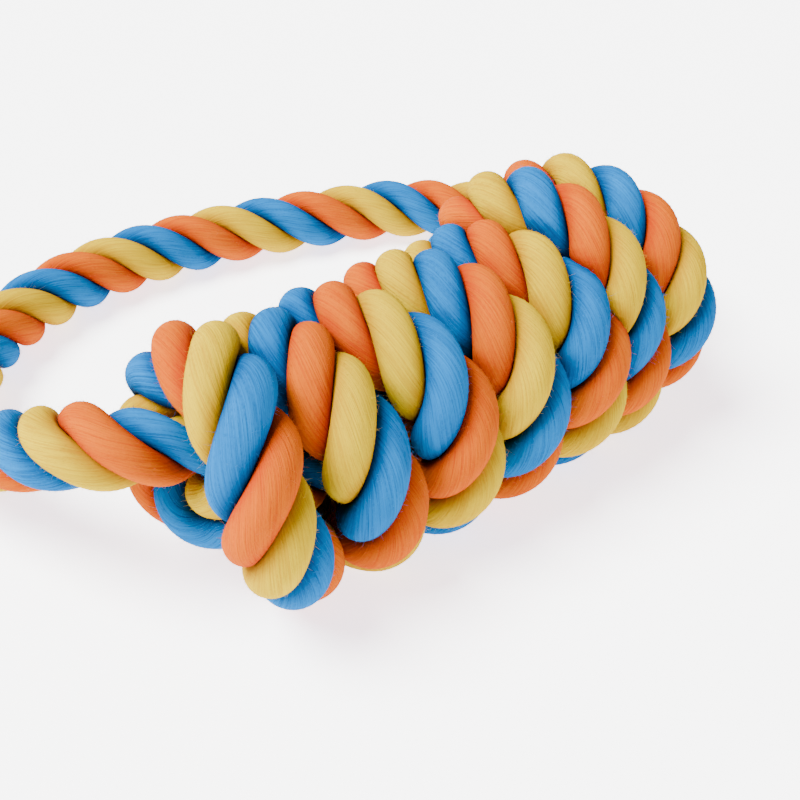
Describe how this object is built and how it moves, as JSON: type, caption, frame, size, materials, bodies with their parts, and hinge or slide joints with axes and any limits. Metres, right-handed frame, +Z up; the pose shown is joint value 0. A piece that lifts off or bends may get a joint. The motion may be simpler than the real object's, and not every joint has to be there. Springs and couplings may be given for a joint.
{
  "type": "rope dog toy",
  "caption": "Dog tug toy of thick three-colour laid cotton rope: a bar of tight rope turns wound round a rope core, with the free stretch of the rope left as a hand loop.",
  "frame": {"origin": "on the table under the middle of the whole toy's box", "axes": "+X along the bar, from the end in front to the far end; +Y from the bar towards the hand loop; +Z up"},
  "size_m": [0.2188, 0.1716, 0.0664],
  "materials": {
    "blue_cotton": "matte spun cotton, fine fibre lines along the strand",
    "orange_cotton": "matte spun cotton, fine fibre lines along the strand",
    "yellow_cotton": "matte spun cotton, fine fibre lines along the strand",
    "core_cotton": "matte spun cotton, pressed flat inside the bar"
  },
  "bodies": {
    "bar": {"blue_bar_strand": "blue_cotton", "orange_bar_strand": "orange_cotton", "yellow_bar_strand": "yellow_cotton", "core_feed_run": "core_cotton", "core_loop_tail": "core_cotton", "core_bar_tail": "core_cotton"},
    "hand_loop": {"blue_loop_strand": "blue_cotton", "orange_loop_strand": "orange_cotton", "yellow_loop_strand": "yellow_cotton"}
  },
  "joints": [
    {"name": "loop_swing", "type": "hinge", "parent": "bar", "child": "hand_loop", "pos_m": [0, -0.04894, 0.0349], "axis": [1, 0, 0], "range_deg": [-20, 110]}
  ]
}
